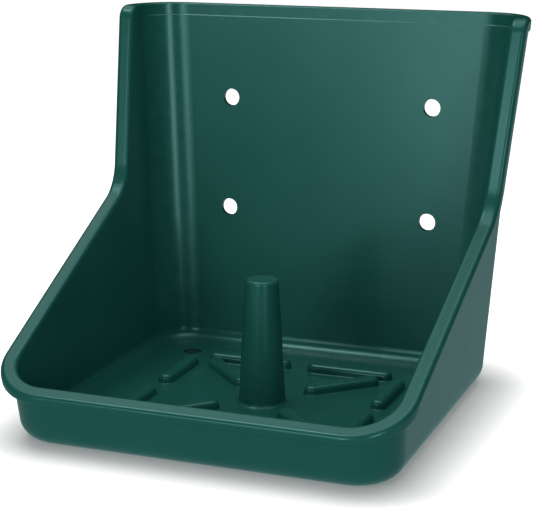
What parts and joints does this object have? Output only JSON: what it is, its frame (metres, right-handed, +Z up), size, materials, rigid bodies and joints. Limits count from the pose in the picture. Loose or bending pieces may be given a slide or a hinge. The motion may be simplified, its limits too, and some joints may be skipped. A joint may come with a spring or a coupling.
{
  "type": "salt lick block holder",
  "caption": "Wall-mounted moulded plastic tray for a square salt lick block, with a tall back panel, sloping sides, turned-down rim, ribbed floor and a central tapered peg.",
  "frame": {"origin": "centre of the bounding box at the base, on the ground under the floor pan", "axes": "+X to the right as seen from the open front, +Y to the back panel that goes against the wall, +Z up from the base"},
  "size_m": [0.2346, 0.2204, 0.201],
  "materials": {
    "green_plastic": "satin moulded, dark green"
  },
  "bodies": {
    "root": {"back_panel": "green_plastic", "floor_pan": "green_plastic", "front_wall": "green_plastic", "rib_cross_front_left": "green_plastic", "rib_cross_front_right": "green_plastic", "rib_cross_rear_left": "green_plastic", "rib_cross_rear_right": "green_plastic", "rib_diagonal_front_left": "green_plastic", "rib_diagonal_front_right": "green_plastic", "rib_diagonal_rear_left": "green_plastic", "rib_diagonal_rear_right": "green_plastic", "rib_side_front_left": "green_plastic", "rib_side_front_right": "green_plastic", "rib_side_rear_left": "green_plastic", "rib_side_rear_right": "green_plastic", "rim_back": "green_plastic", "rim_front": "green_plastic", "rim_slope_left": "green_plastic", "rim_slope_right": "green_plastic", "rim_wing_left": "green_plastic", "rim_wing_right": "green_plastic", "salt_block_peg": "green_plastic", "side_wall_left": "green_plastic", "side_wall_right": "green_plastic"}
  },
  "joints": []
}
